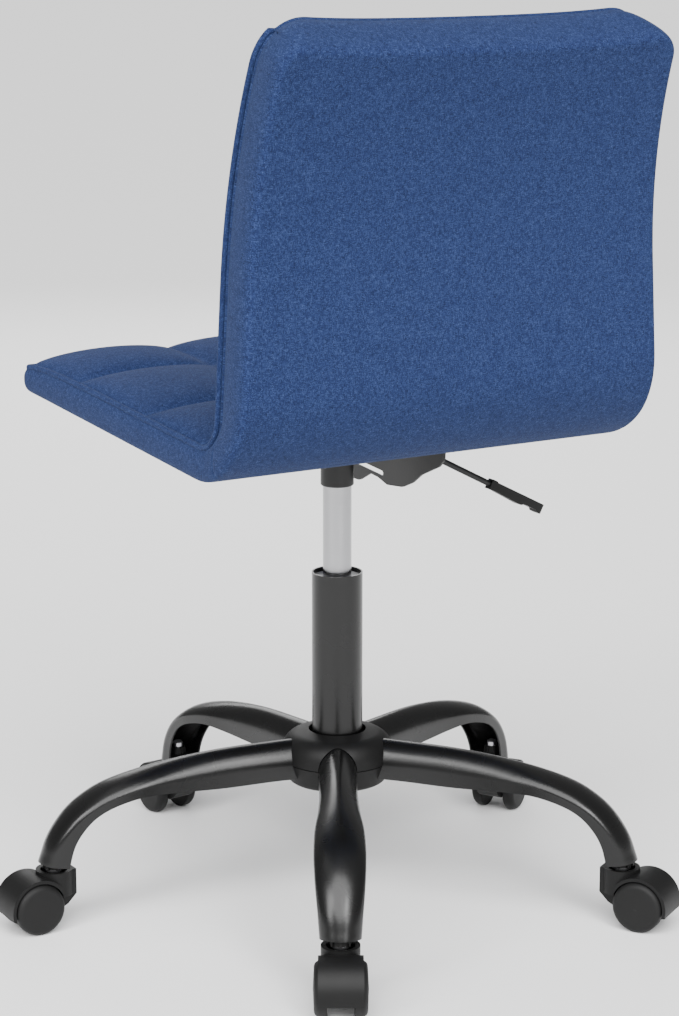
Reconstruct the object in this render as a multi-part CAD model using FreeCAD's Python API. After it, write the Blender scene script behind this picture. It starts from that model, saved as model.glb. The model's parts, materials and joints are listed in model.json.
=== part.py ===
import FreeCAD, Part
import math
import os

# Swivel office chair: a five-arm steel base on twin-wheel casters, a gas lift,
# a swivel plate with a release lever, and an L-shaped upholstered plywood shell.
# Millimetres. +Z is up, -Y is the way the sitter faces, +X is the sitter's left.
# The origin is on the floor, on the axis of the column.

Vec = FreeCAD.Vector
ORIGIN = Vec(0, 0, 0)
UP = Vec(0, 0, 1)
ALONG_X = Vec(1, 0, 0)
ALONG_Y = Vec(0, 1, 0)

# ---------------------------------------------------------------- fits
run_gap = 0.05          # radial clearance of a running fit
part_gap = 0.4          # air between a plastic cover and the steel that it goes round
long_cut = 400.0        # length of a tool that only has to be longer than the part

# ---------------------------------------------------------------- casters
wheel_d = 50.0
wheel_w = 13.0          # one wheel, from its inner face to the top of its domed face
wheel_gap = 24.5        # between the inner faces of a pair
wheel_edge_r = 1.5
wheel_rim_r = 5.5       # rounding of the outer rim
wheel_dome = 1.2
trail = 24.4            # the axle lies this far behind the stem
axle_d = 6.0
axle_in_wheel = 8.0
hood_gap = 1.2          # between wheel and hood, all round
hood_wall = 3.3
hood_w = 41.0
hood_end_deg = -13.0    # the hood stops this far below the axle on the trailing side
neck_d = 36.0
neck_rise = 7.0         # the neck's rim stands this far above the top of the wheels
neck_side = 25.0        # straight height of the neck's front side
neck_chamfer = 9.0
cup_d = 27.0
cup_depth = 8.0
stem_d = 11.0
stem_seat = 11.0        # length of the stem held in the hood below the cup's floor
stem_collar_d = 18.0
stem_collar_h = 2.2
stem_rise = 26.0        # the stem's top above the neck's rim
stem_tip = 1.5
caster_turn = [0.0, -10.0, 11.0, -1.0, 13.0]    # how each caster happens to stand, degrees

# ---------------------------------------------------------------- star base
arm_count = 5
star_angle = 59.6       # direction of the first arm from +X, degrees
stem_circle_r = 289.6   # the caster stems stand on this circle
arm_wall = 2.0          # steel of the arms
arm_hub_w = 37.0
arm_bend_w = 48.5
arm_tip_w = 38.5
arm_round = 0.6         # height of the rounded top, as a share of the arm's depth
tip_rise = 8.0          # the outer lip of an arm's tip above the neck's rim
hub_rise = 61.0         # the hub's underside above the neck's rim
core_wall = 4.0         # steel ring that the arms are welded to
core_low = 5.0
core_h = 41.0
hub_d = 111.0
hub_foot_d = 96.0       # the cup narrows to this at its foot
hub_h = 52.5
hub_hole_gap = 3.5      # all round, between the column tube and the hole in the hub's cover
hub_wall = 2.5
hub_seam = 23.0         # the two halves of the hub's cover meet this far above its underside
hub_seam_gap = 0.8
hub_side_h = 46.0
hub_shoulder_r = 20.0
hub_foot_r = 6.0
arm_low = 9.5           # the arms' lower edge above the hub's underside
arm_steps = 3           # sections drawn between two stations of an arm
plug_h = 20.0           # the stem socket's height above the hood's neck
plug_gap = 0.4          # between the stem's collar and its socket
plug_foot_wall = 4.5
plug_top_wall = 1.6
plug_rib = 2.0          # how far the ribs stand out at the socket's foot
plug_rib_t = 2.0
plug_plate_t = 3.5      # flat plate that fills the arm round the socket
plug_plate_in = 13.0    # reach of that plate towards the hub, and outwards
plug_plate_out = 22.0
arm_high = 46.5         # the arms' top above the hub's underside

# ---------------------------------------------------------------- gas lift
tube_d = 50.0
tube_wall = 1.5
tube_top = 212.5        # above the hub's underside
tube_drop = 5.0         # the tube's foot hangs this far below the hub
tube_taper = 1.0        # the foot is this much smaller in radius
tube_floor = 3.5
bush_h = 78.0
bush_set = 4.5          # the guide bush sits this far below the tube's mouth
rod_d = 10.0
rod_below = 6.0         # the rod's end below the tube's foot
clip_t = 1.2
clip_d = 18.0
clip_slot = 5.0
clip_drop = 0.2
groove_depth = 1.0
washer_d = 28.0
washer_t = 2.0
ball_d = 4.8
ball_ring_r = 9.7
ball_count = 10
cage_t = 1.4
cage_wall = 1.2
ball_play = 0.05
collar_d = 14.0
collar_h = 3.7
buffer_d = 22.0
buffer_h = 12.0
cylinder_d = 28.0
cylinder_wall = 1.5
lift_down = 75.0        # how far the seat goes down and up from the height drawn here
lift_up = 45.0
lift_spare = 6.0        # left over at each end of the stroke
guide_h = 18.0
piston_h = 12.0
chrome_shown = 87.0     # bare cylinder between the tube's mouth and the seat's socket
taper_h = 40.0
taper_in = 1.0          # the cylinder's top cone loses this much radius
valve_wall = 2.0
valve_cap = 4.0
valve_h = 44.0
pin_d = 6.0
pin_out = 5.5           # the release pin stands this far out of the cylinder
pin_in = 4.0

# ---------------------------------------------------------------- swivel plate and lever
seat_tilt = 4.0         # the seat's underside rises to the front by this angle, degrees
under_rise = 60.5       # the underside above the socket's mouth, on the column axis
plate_t = 3.0
plate_w = 122.5
plate_front = 92.0
plate_back = 103.0
plate_corner_r = 12.0
flange_t = 2.5
flange_h = 16.0         # depth of the plain flange on the left
ear_h = 75.0            # greatest depth of the ear on the lever's side
socket_wall = 2.25
socket_chamfer = 1.0
bracket_w = 56.0
bracket_l = 90.0
bracket_t = 3.0
bracket_over = 1.5      # the socket stands this far above the bracket's floor
bolt_d = 6.0
bolt_head_d = 11.0
bolt_head_h = 4.0
bolt_hole_gap = 0.3
bolt_x = 45.0
bolt_y = [-70.0, 82.0]
tnut_d = 18.0
tnut_flange = 1.5
tnut_barrel_d = 8.0
tnut_clear = 1.5
lever_d = 6.0
lever_gap = 0.35        # between the lever's inner end and the release pin
lever_over = 3.0        # the lever's inner end passes the column axis by this much
lever_drop = 27.7       # slope of the lever's outer run, degrees
lever_bend_x = 49.0
lever_bend_r = 12.0
lever_run = 154.0       # slanting length, from the bend to the end of the rod
lever_travel = 3.0      # degrees
lever_play = 0.5
handle_l = 72.0
handle_w = 13.0
handle_grip = 8.0       # the rod goes this far into the handle

# ---------------------------------------------------------------- seat shell
ply_t = 11.0
dust_t = 1.3
seat_front = 252.0
seat_half_w = 224.0
top_half_w = 202.5
back_y = 213.0          # rear face of the lower back
taper_from = 22.0       # the back starts to narrow this far above the underside
lean_from = 172.0       # the back starts to lean this far above the underside
lean_r = 500.0
lean_deg = 24.5
corner_out_r = 88.0     # rear bottom corner of the upholstery
corner_ply_r = 78.0
crease_r = 25.0
seat_pad = 24.7         # foam above the plywood
back_pad_t = 10.0       # padding behind the plywood
back_foam = 31.0        # foam in front of the plywood
side_pad = 12.0         # padding round the plywood's edge
seat_corner_r = 26.0
top_corner_r = 42.0
ply_corner_r = 32.0
dust_inset = 16.0
dust_corner_r = 30.0

# ---------------------------------------------------------------- heights, from the floor up
wheel_r = wheel_d / 2
neck_z = wheel_d + neck_rise
cup_z = neck_z - cup_depth
hub_z = neck_z + hub_rise
core_z = hub_z + core_low
foot_z = hub_z - tube_drop
tube_z = hub_z + tube_top
socket_z = tube_z + chrome_shown
taper_top_z = socket_z + taper_h
pin_z = taper_top_z + pin_out
under_z = socket_z + under_rise
floor_z = foot_z + tube_floor
ball_z = floor_z + washer_t
upper_washer_z = ball_z + ball_d
shoulder_z = upper_washer_z + washer_t
buffer_z = shoulder_z + collar_h
cylinder_z = buffer_z + buffer_h + lift_down + lift_spare
piston_z = cylinder_z + guide_h + lift_up + lift_spare
valve_z = taper_top_z - valve_cap - valve_h
lever_z = pin_z + lever_gap + lever_d / 2

# ---------------------------------------------------------------- radii
tube_r = tube_d / 2
tube_in = tube_r - tube_wall
foot_r = tube_r - tube_taper
taper_from_z = core_z + core_h
core_r = tube_r + core_wall
rod_r = rod_d / 2
cylinder_r = cylinder_d / 2
bore_r = cylinder_r - cylinder_wall
valve_r = cylinder_r - taper_in - valve_wall
stem_r = stem_d / 2
flange_x = plate_w / 2 - flange_t / 2
tilt = math.radians(seat_tilt)


# ---------------------------------------------------------------- helpers
def save(name, shape):
    """Write one node; a list becomes a group of separate solids."""
    if isinstance(shape, list):
        shape = Part.makeCompound([piece.copy() for piece in shape])
    shape.exportStep("parts/" + name + ".step")


def post(radius, low, high):
    return Part.makeCylinder(radius, high - low, Vec(0, 0, low))


def pipe(outer, inner, low, high):
    return post(outer, low, high).cut(post(inner, low, high))


def frustum(low_r, high_r, low, high):
    return Part.makeCone(low_r, high_r, high - low, Vec(0, 0, low))


def outline(corners, place):
    """Closed face through corners (u, v, radius), each rounded by its own arc."""
    count = len(corners)
    starts = []
    mids = []
    ends = []
    for i in range(count):
        u, v, radius = corners[i]
        here = Vec(u, v, 0)
        back = Vec(corners[i - 1][0], corners[i - 1][1], 0) - here
        ahead = Vec(corners[(i + 1) % count][0], corners[(i + 1) % count][1], 0) - here
        half = back.getAngle(ahead) / 2
        back.normalize()
        ahead.normalize()
        if radius == 0:
            starts.append(here)
            mids.append(None)
            ends.append(here)
            continue
        middle = back + ahead
        middle.normalize()
        starts.append(here + back * (radius / math.tan(half)))
        mids.append(here + middle * (radius / math.sin(half) - radius))
        ends.append(here + ahead * (radius / math.tan(half)))
    edges = []
    for i in range(count):
        if mids[i] is not None:
            arc = Part.Arc(place(starts[i]), place(mids[i]), place(ends[i]))
            edges.append(arc.toShape())
        following = starts[(i + 1) % count]
        if (following - ends[i]).Length > run_gap / 10:
            edges.append(Part.makeLine(place(ends[i]), place(following)))
    return Part.Face(Part.Wire(edges))


def side_view(point):
    return Vec(point.x, 0, point.y)


def plan_view(point):
    return Vec(point.x, point.y, 0)


def turned(corners):
    """Solid of revolution about Z, from (radius, height, rounding) corners."""
    return outline(corners, side_view).revolve(ORIGIN, UP, 360)


def slab(corners, half_width):
    """Side-view outline (x, z, rounding), thickened evenly to both sides along Y."""
    face = outline(corners, side_view)
    face.translate(Vec(0, -half_width, 0))
    return face.extrude(Vec(0, 2 * half_width, 0))


def block(x0, x1, y0, y1, z0, z1):
    return Part.makeBox(x1 - x0, y1 - y0, z1 - z0, Vec(x0, y0, z0))


# ---------------------------------------------------------------- casters
# Each caster is drawn with its stem on the Z axis and its axle trailing along +X.
def across(radius, low, high):
    """Cylinder about the axle, from low to high along Y."""
    return Part.makeCylinder(radius, high - low, Vec(trail, low, wheel_r), ALONG_Y)


def caster_wheel(side):
    inner = wheel_gap / 2
    outer = inner + wheel_w
    hole = axle_d / 2 + run_gap
    blind = inner + axle_in_wheel + run_gap
    profile = [
        (hole, inner, 0),
        (wheel_r, inner, wheel_edge_r),
        (wheel_r, outer - wheel_dome, wheel_rim_r),
        (0, outer, 0),
        (0, blind, 0),
        (hole, blind, 0),
    ]
    wheel = turned(profile)
    wheel.rotate(ORIGIN, ALONG_X, -90 * side)
    wheel.translate(Vec(trail, 0, wheel_r))
    return wheel


def caster_hood():
    outer = wheel_r + hood_gap + hood_wall
    inner = wheel_r + hood_gap
    web = wheel_gap / 2 - run_gap - hood_gap / 2
    end = math.radians(hood_end_deg)
    end_x = trail + outer * math.cos(end)
    end_z = wheel_r + outer * math.sin(end)
    neck_r = neck_d / 2
    # the round cover over both treads, open below and towards the stem
    cover = across(outer, -hood_w / 2, hood_w / 2)
    cover = cover.cut(block(-long_cut, long_cut, -long_cut, long_cut, -long_cut, end_z))
    cover = cover.cut(block(-long_cut, 0, -long_cut, long_cut, -long_cut, long_cut))
    # the web between the wheels, down to the same level
    chamfer_z = neck_z - neck_side - neck_chamfer
    front = [
        (-neck_r, neck_z, 0),
        (-neck_r, neck_z - neck_side, 0),
        (-neck_r + neck_chamfer, chamfer_z, 0),
        (0, end_z, 0),
        (end_x, end_z, 0),
        (trail, wheel_r, 0),
        (neck_r / 2, neck_z, 0),
    ]
    hood = cover.fuse(slab(front, web)).fuse(post(neck_r, neck_z - neck_side, neck_z))
    for side in (-1, 1):
        near = min(side * web, side * long_cut)
        far = max(side * web, side * long_cut)
        hood = hood.cut(across(inner, near, far))
    hood = hood.cut(post(cup_d / 2, cup_z, neck_z))
    hood = hood.cut(post(stem_r, cup_z - stem_seat, cup_z))
    hood = hood.cut(across(axle_d / 2, -long_cut, long_cut))
    return hood.removeSplitter()


def caster_stem():
    top = neck_z + stem_rise
    foot = cup_z - stem_seat
    collar = neck_z - stem_collar_h / 2
    collar_r = stem_collar_d / 2
    profile = [
        (0, foot, 0),
        (stem_r, foot, 0),
        (stem_r, collar, 0),
        (collar_r, collar, 0),
        (collar_r, collar + stem_collar_h, 0),
        (stem_r, collar + stem_collar_h, 0),
        (stem_r, top - stem_tip, 0),
        (stem_r - stem_tip, top, 0),
        (0, top, 0),
    ]
    return turned(profile)


def caster_axle():
    half = wheel_gap / 2 + axle_in_wheel
    return across(axle_d / 2, -half, half)


def caster_places():
    """Angle of each arm, and where its caster stands and trails."""
    places = []
    for i in range(arm_count):
        arm = star_angle + i * 360.0 / arm_count
        places.append((arm, arm + caster_turn[i % len(caster_turn)]))
    return places


def put_caster(shape, arm, turn):
    moved = shape.rotated(ORIGIN, UP, turn)
    reach = math.radians(arm)
    moved.translate(Vec(stem_circle_r * math.cos(reach), stem_circle_r * math.sin(reach), 0))
    return moved


# ---------------------------------------------------------------- arms
# An arm is a pressed channel, open below. It leaves the hub level, widens at the bend
# and turns down over the caster's stem. Each station is a top point and a bottom point
# (distance from the axis, height) and a width. Sections between the stations follow a
# smooth curve through them.
def arm_stations():
    span = stem_circle_r - core_r
    top = hub_z + arm_high
    low = hub_z + arm_low
    tip = neck_z + tip_rise
    middle = (arm_hub_w + arm_bend_w) / 2
    rise = top - tip
    return [
        (core_r - 10, top, core_r - 10, low, arm_hub_w),
        (core_r + 0.16 * span, top - 1.5, core_r + 0.155 * span, low, arm_hub_w),
        (core_r + 0.37 * span, top - 4, core_r + 0.36 * span, low - 1.5, arm_hub_w),
        (core_r + 0.54 * span, top - 9.5, core_r + 0.53 * span, low - 0.5, middle - 2.5),
        (core_r + 0.69 * span, top - 17.5, core_r + 0.67 * span, low - 0.5, middle + 3.5),
        (stem_circle_r - 46.6, tip + 0.715 * rise, stem_circle_r - 57, tip + 0.56 * rise, arm_bend_w),
        (stem_circle_r - 22.6, tip + 0.575 * rise, stem_circle_r - 38, tip + 0.465 * rise, arm_bend_w - 1),
        (stem_circle_r - 7.6, tip + 0.44 * rise, stem_circle_r - 25.5, tip + 0.34 * rise, arm_bend_w - 3),
        (stem_circle_r + 6.6, tip + 0.235 * rise, stem_circle_r - 16.5, tip + 0.18 * rise, arm_tip_w + 3.5),
        (stem_circle_r + 15.4, tip, stem_circle_r - 11, tip - 3.5, arm_tip_w),
    ]


def smooth_stations(rough):
    """Stations joined by cubic curves whose slope at each one runs between its neighbours."""
    last = len(rough) - 1
    reach = [0.0]
    for near, far in zip(rough, rough[1:]):
        reach.append(reach[-1] + math.hypot(far[0] - near[0], far[1] - near[1]))
    slopes = []
    for i in range(last + 1):
        low = max(i - 1, 0)
        high = min(i + 1, last)
        run = reach[high] - reach[low]
        slopes.append([(b - a) / run for a, b in zip(rough[low], rough[high])])
    fine = []
    for i in range(last):
        run = reach[i + 1] - reach[i]
        for step in range(arm_steps):
            t = step / arm_steps
            start = 2 * t ** 3 - 3 * t ** 2 + 1
            leave = (t ** 3 - 2 * t ** 2 + t) * run
            arrive = (t ** 3 - t ** 2) * run
            rows = zip(rough[i], rough[i + 1], slopes[i], slopes[i + 1])
            fine.append([a * start + b * (1 - start) + m * leave + n * arrive for a, b, m, n in rows])
    return fine + [list(rough[last])]


def arm_section(station, grow, open_by):
    """Round-topped outline across the arm; grow moves its walls outwards."""
    top_r, top_z, low_r, low_z, width = station
    top = Vec(top_r, 0, top_z)
    down = Vec(low_r, 0, low_z) - top
    depth = down.Length + open_by
    down.normalize()
    half = width / 2 + grow
    round_h = arm_round * (depth - open_by)
    quarter = 0.5523        # handle length that makes a cubic curve follow a quarter ellipse

    def at(side, below):
        return top + Vec(0, side * half, 0) + down * (below - grow)

    def curve(poles):
        bezier = Part.BezierCurve()
        bezier.setPoles(poles)
        return bezier.toShape()

    bend = round_h * (1 - quarter)
    left = curve([at(-1, round_h), at(-1, bend), at(-1 + quarter, 0), at(0, 0)])
    right = curve([at(0, 0), at(1 - quarter, 0), at(1, bend), at(1, round_h)])
    depth = depth + grow
    edges = [
        Part.makeLine(at(-1, depth), at(-1, round_h)),
        left,
        right,
        Part.makeLine(at(1, round_h), at(1, depth)),
        Part.makeLine(at(1, depth), at(-1, depth)),
    ]
    return Part.Wire(edges)


def arm_body(grow, open_by):
    stations = smooth_stations(arm_stations())
    return Part.makeLoft([arm_section(station, grow, open_by) for station in stations], True)


def pressed_arm(hollow):
    channel = arm_body(0, 0).cut(hollow)
    reach = long_cut * math.tan(math.pi / arm_count)
    sector = outline([(0, 0, 0), (long_cut, -reach, 0), (long_cut, reach, 0)], plan_view)
    channel = channel.common(sector.extrude(UP * long_cut))
    return channel.cut(post(core_r, -long_cut, long_cut))


def stem_socket(hollow):
    """Ribbed plastic plug in the arm's tip, drawn with the stem on the Z axis."""
    low = neck_z + stem_collar_h / 2 + plug_gap
    high = neck_z + plug_h
    plate_z = neck_z + tip_rise + 1
    foot = stem_r + plug_foot_wall
    top = stem_r + plug_top_wall
    core = frustum(foot, top, low, high)
    ribs = frustum(foot + plug_rib, top + plug_rib / 2, low, high)
    half = plug_rib_t / 2
    blades = block(-half, half, -long_cut, long_cut, low, high)
    star = blades
    rib_pairs = 4
    for i in range(1, rib_pairs):
        star = star.fuse(blades.rotated(ORIGIN, UP, i * 180.0 / rib_pairs))
    plate = block(-plug_plate_in, plug_plate_out, -long_cut, long_cut, plate_z, plate_z + plug_plate_t)
    plate = plate.common(hollow.translated(Vec(-stem_circle_r, 0, 0)))
    body = core.fuse(ribs.common(star)).fuse(plate)
    body = body.cut(post(stem_r + run_gap, -long_cut, long_cut))
    return body.removeSplitter()


# ---------------------------------------------------------------- hub
def tube_outer():
    """Outside of the column tube: a straight upper part on a slightly tapered foot."""
    return post(tube_r, taper_from_z, tube_z).fuse(frustum(foot_r, tube_r, foot_z, taper_from_z))


def hub_core():
    core = post(core_r, core_z, taper_from_z)
    return core.cut(frustum(foot_r, tube_r, foot_z, taper_from_z))


def hub_cover_lower(arms):
    hub_r = hub_d / 2
    foot_edge = hub_foot_d / 2
    seam = hub_z + hub_seam - hub_seam_gap / 2
    hole = tube_d / 2 + hub_hole_gap
    profile = [
        (hole, hub_z, 0),
        (foot_edge, hub_z, hub_foot_r),
        (hub_r, seam, 0),
        (hub_r - hub_wall, seam, 0),
        (foot_edge - hub_wall, hub_z + hub_wall, hub_foot_r - hub_wall),
        (hole, hub_z + hub_wall, 0),
    ]
    cover = turned(profile)
    for arm in arms:
        cover = cover.cut(arm)
    return cover


def hub_cover_upper(arms):
    hub_r = hub_d / 2
    inside = hub_r - hub_wall
    seam = hub_z + hub_seam + hub_seam_gap / 2
    top = hub_z + hub_h
    hole = tube_d / 2 + hub_hole_gap
    profile = [
        (hub_r, seam, 0),
        (hub_r, hub_z + hub_side_h, hub_shoulder_r),
        (hole, top, 0),
        (hole, top - hub_wall, 0),
        (inside, hub_z + hub_side_h - hub_wall, hub_shoulder_r - hub_wall),
        (inside, seam, 0),
    ]
    cover = turned(profile)
    for arm in arms:
        cover = cover.cut(arm)
    return cover


# ---------------------------------------------------------------- gas lift
def column_tube():
    tube = tube_outer().cut(post(tube_in, taper_from_z, tube_z))
    tube = tube.cut(frustum(foot_r - tube_wall, tube_in, floor_z, taper_from_z))
    tube = tube.cut(post(rod_r + run_gap, foot_z, floor_z))
    return tube.removeSplitter()


def guide_bush():
    top = tube_z - bush_set
    sleeve = pipe(tube_in, cylinder_r + run_gap, top - bush_h, top)
    return sleeve


def bearing_balls():
    balls = []
    for i in range(ball_count):
        turn = math.radians(i * 360.0 / ball_count)
        centre = Vec(ball_ring_r * math.cos(turn), ball_ring_r * math.sin(turn), ball_z + ball_d / 2)
        balls.append(Part.makeSphere(ball_d / 2, centre))
    return balls


def bearing_cage():
    middle = ball_z + ball_d / 2
    cage_in = ball_ring_r - ball_d / 2 - cage_wall
    cage_out = ball_ring_r + ball_d / 2 + cage_wall
    cage = pipe(cage_out, cage_in, middle - cage_t / 2, middle + cage_t / 2)
    for i in range(ball_count):
        turn = i * 360.0 / ball_count
        pocket = post(ball_d / 2 + ball_play, middle - cage_t, middle + cage_t)
        pocket.translate(Vec(ball_ring_r, 0, 0))
        pocket.rotate(ORIGIN, UP, turn)
        cage = cage.cut(pocket)
    return cage


def piston_rod():
    rod = post(rod_r, foot_z - rod_below, piston_z + piston_h)
    rod = rod.fuse(post(collar_d / 2, shoulder_z, shoulder_z + collar_h))
    clip_z = foot_z - clip_drop - clip_t
    rod = rod.cut(pipe(rod_r, rod_r - groove_depth, clip_z, clip_z + clip_t))
    return rod.removeSplitter()


def rod_clip():
    clip_z = foot_z - clip_drop - clip_t
    clip = pipe(clip_d / 2, rod_r - groove_depth, clip_z, clip_z + clip_t)
    mouth = block(0, clip_d, -clip_slot / 2, clip_slot / 2, clip_z, clip_z + clip_t)
    return clip.cut(mouth)


def taper_plug(extra):
    """The cylinder's top cone, which wedges in the socket."""
    return frustum(cylinder_r + extra, cylinder_r - taper_in + extra, socket_z, taper_top_z)


def gas_cylinder():
    body = post(cylinder_r, cylinder_z, socket_z).fuse(taper_plug(0))
    body = body.cut(post(bore_r, cylinder_z, valve_z))
    body = body.cut(post(valve_r, valve_z, valve_z + valve_h))
    body = body.cut(post(pin_d / 2 + run_gap, valve_z + valve_h, taper_top_z))
    return body.removeSplitter()


def release_pin():
    rounding = pin_d / 6
    profile = [
        (0, valve_z - pin_in, 0),
        (pin_d / 2, valve_z - pin_in, 0),
        (pin_d / 2, pin_z, rounding),
        (0, pin_z, 0),
    ]
    return turned(profile)


# ---------------------------------------------------------------- swivel plate
# Pieces fixed to the seat's underside are drawn level, then tipped with the seat.
def tipped(shape):
    return shape.rotated(Vec(0, 0, under_z), ALONG_X, -seat_tilt)


def bolt_places():
    return [Vec(side * bolt_x, y, under_z) for side in (-1, 1) for y in bolt_y]


def at_bolts(shape):
    return [tipped(shape.translated(place)) for place in bolt_places()]


def lever_slot(x, spare):
    """Hole for the lever in a wall at x, long enough for its swing."""
    swing = abs(flange_x + x) * math.tan(math.radians(lever_travel)) + spare
    past_bend = max(0, -x - lever_bend_x)
    slope = math.radians(lever_drop) if past_bend else 0
    radius = (lever_d + flange_t * math.sin(slope)) / math.cos(slope) / 2 + lever_play
    middle = lever_z - past_bend * math.tan(slope)
    hole = Part.makeCylinder(radius, 4 * flange_t, Vec(x - 2 * flange_t, 0, middle), ALONG_X)
    lower = hole.translated(Vec(0, 0, -swing))
    between = block(x - 2 * flange_t, x + 2 * flange_t, -radius, radius, middle - swing, middle)
    return hole.fuse(lower).fuse(between)


def swivel_plate():
    """Flat plate with a plain flange on the left and a deep lobed ear on the lever's side."""
    top = under_z
    low = top - plate_t
    half = plate_w / 2
    r = plate_corner_r
    sheet_outline = [
        (-half, -plate_front, r),
        (half, -plate_front, r),
        (half, plate_back, r),
        (-half, plate_back, r),
    ]
    sheet = outline(sheet_outline, plan_view)
    sheet.translate(Vec(0, 0, low))
    plate = sheet.extrude(Vec(0, 0, plate_t))

    def wall(corners, x):
        face = outline(corners, lambda point: Vec(x, point.x, point.y))
        return face.extrude(Vec(flange_t, 0, 0))

    left = [
        (-plate_front + r, low, 0),
        (plate_back - r, low, 0),
        (plate_back - 2 * r, low - flange_h, r / 2),
        (-plate_front + 2 * r, low - flange_h, r / 2),
    ]
    ear = [
        (-0.95 * plate_front, low, 0),
        (-0.95 * plate_front, low - 0.83 * ear_h, 8),
        (-0.78 * plate_front, low - ear_h, 12),
        (-0.54 * plate_front, low - 0.98 * ear_h, 12),
        (-0.32 * plate_front, low - 0.815 * ear_h, 8),
        (-0.16 * plate_front, low - 0.82 * ear_h, 8),
        (0.02 * plate_back, low - 0.865 * ear_h, 14),
        (0.29 * plate_back, low - 0.8 * ear_h, 16),
        (0.46 * plate_back, low - 0.68 * ear_h, 8),
        (0.6 * plate_back, low - 0.527 * ear_h, 12),
        (0.89 * plate_back, low - 0.32 * ear_h, 4),
        (0.97 * plate_back, low - 0.21 * ear_h, 4),
        (0.97 * plate_back, low, 0),
    ]
    window_r = 0.034 * ear_h
    window = [
        (-0.85 * plate_front, low - 0.707 * ear_h, window_r),
        (-0.065 * plate_front, low - 0.707 * ear_h, window_r),
        (-0.065 * plate_front, low - 0.78 * ear_h, window_r),
        (-0.85 * plate_front, low - 0.78 * ear_h, window_r),
    ]
    plate = plate.fuse(wall(left, half - flange_t))
    plate = plate.fuse(wall(ear, -half).cut(wall(window, -half)))
    plate = tipped(plate)
    for hole in at_bolts(post(bolt_d / 2 + bolt_hole_gap, -plate_t, 0)):
        plate = plate.cut(hole)
    return plate.cut(lever_slot(-flange_x, lever_play)).removeSplitter()


def swivel_bracket():
    """Channel under the plate: its floor carries the socket, its walls reach the plate."""
    floor_top = taper_top_z - bracket_over
    half = bracket_w / 2
    long_half = bracket_l / 2
    channel = block(-half, half, -long_half, long_half, floor_top - bracket_t, under_z + plate_t)
    inside = half - bracket_t
    channel = channel.cut(block(-inside, inside, -long_cut, long_cut, floor_top, long_cut * 2))
    above = block(-long_cut, long_cut, -long_cut, long_cut, under_z - plate_t, 2 * long_cut)
    channel = channel.cut(tipped(above))
    channel = channel.cut(post(cylinder_r + socket_wall, 0, floor_top))
    return channel.cut(lever_slot(-half + bracket_t / 2, lever_play)).removeSplitter()


def swivel_socket():
    outer = cylinder_r + socket_wall
    top = taper_top_z - bracket_over
    body = post(outer, socket_z, top)
    edge = frustum(outer - socket_chamfer, outer, socket_z, socket_z + socket_chamfer)
    body = body.cut(post(outer, socket_z, socket_z + socket_chamfer).cut(edge))
    return body.cut(taper_plug(0))


def lever_path():
    slope = math.radians(lever_drop)
    corner = Vec(-lever_bend_x, 0, lever_z)
    run = Vec(-math.cos(slope), 0, -math.sin(slope))
    return corner, run


def lever_rod():
    corner, run = lever_path()
    half = math.radians(lever_drop) / 2
    tangent = lever_bend_r * math.tan(half)
    start = Vec(lever_over, 0, lever_z)
    into = corner + Vec(tangent, 0, 0)
    out = corner + run * tangent
    inward = run - Vec(-1, 0, 0)
    inward.normalize()
    mid = corner + inward * (lever_bend_r / math.cos(half) - lever_bend_r)
    end = corner + run * lever_run
    path = Part.Wire([
        Part.makeLine(start, into),
        Part.Arc(into, mid, out).toShape(),
        Part.makeLine(out, end),
    ])
    ring = Part.Wire([Part.makeCircle(lever_d / 2, start, Vec(-1, 0, 0))])
    return path.makePipeShell([ring], True, False)


def lever_handle():
    """Paddle grip, drawn along -X and then tipped to the rod's slope."""
    half = 0.061 * handle_l
    profile = [
        (0, -half - 1.0, 1),
        (0, half + 1.0, 1),
        (-0.08 * handle_l, half + 1.0, 1),
        (-0.1 * handle_l, half, 0),
        (-handle_l, half + 0.2, 1.5),
        (-handle_l, -half - 1.2, 1.5),
        (-0.9 * handle_l, -half - 1.2, 1.5),
        (-0.87 * handle_l, -half + 0.9, 1),
        (-0.65 * handle_l, -half + 0.7, 1),
        (-0.6 * handle_l, -half - 1.6, 2),
        (-0.1 * handle_l, -half - 0.4, 0),
    ]
    grip = slab(profile, handle_w / 2)
    waist = [
        (0, -0.5 * handle_w + 2, 1),
        (0, 0.5 * handle_w - 2, 1),
        (-0.2 * handle_l, 0.5 * handle_w - 1.2, 10),
        (-0.8 * handle_l, 0.5 * handle_w, 10),
        (-handle_l, 0.5 * handle_w, 5),
        (-handle_l, -0.5 * handle_w, 5),
        (-0.8 * handle_l, -0.5 * handle_w, 10),
        (-0.2 * handle_l, -0.5 * handle_w + 1.2, 10),
    ]
    shape = outline(waist, plan_view)
    shape.translate(Vec(0, 0, -handle_w))
    grip = grip.common(shape.extrude(Vec(0, 0, 2 * handle_w)))
    hole = Part.makeCylinder(lever_d / 2, handle_grip, ORIGIN, Vec(-1, 0, 0))
    grip = grip.cut(hole)
    corner, run = lever_path()
    grip.rotate(ORIGIN, ALONG_Y, -lever_drop)
    grip.translate(corner + run * (lever_run - handle_grip))
    return grip


# ---------------------------------------------------------------- seat shell
# Every layer of the shell follows one side profile: along the seat, round the rear
# corner, straight up and then leaning back. A layer is a distance inside the seat's
# underside, a distance inside the back's rear face, and a corner radius.
def under_at(y, inside):
    return under_z - math.tan(tilt) * y + inside / math.cos(tilt)


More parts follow.
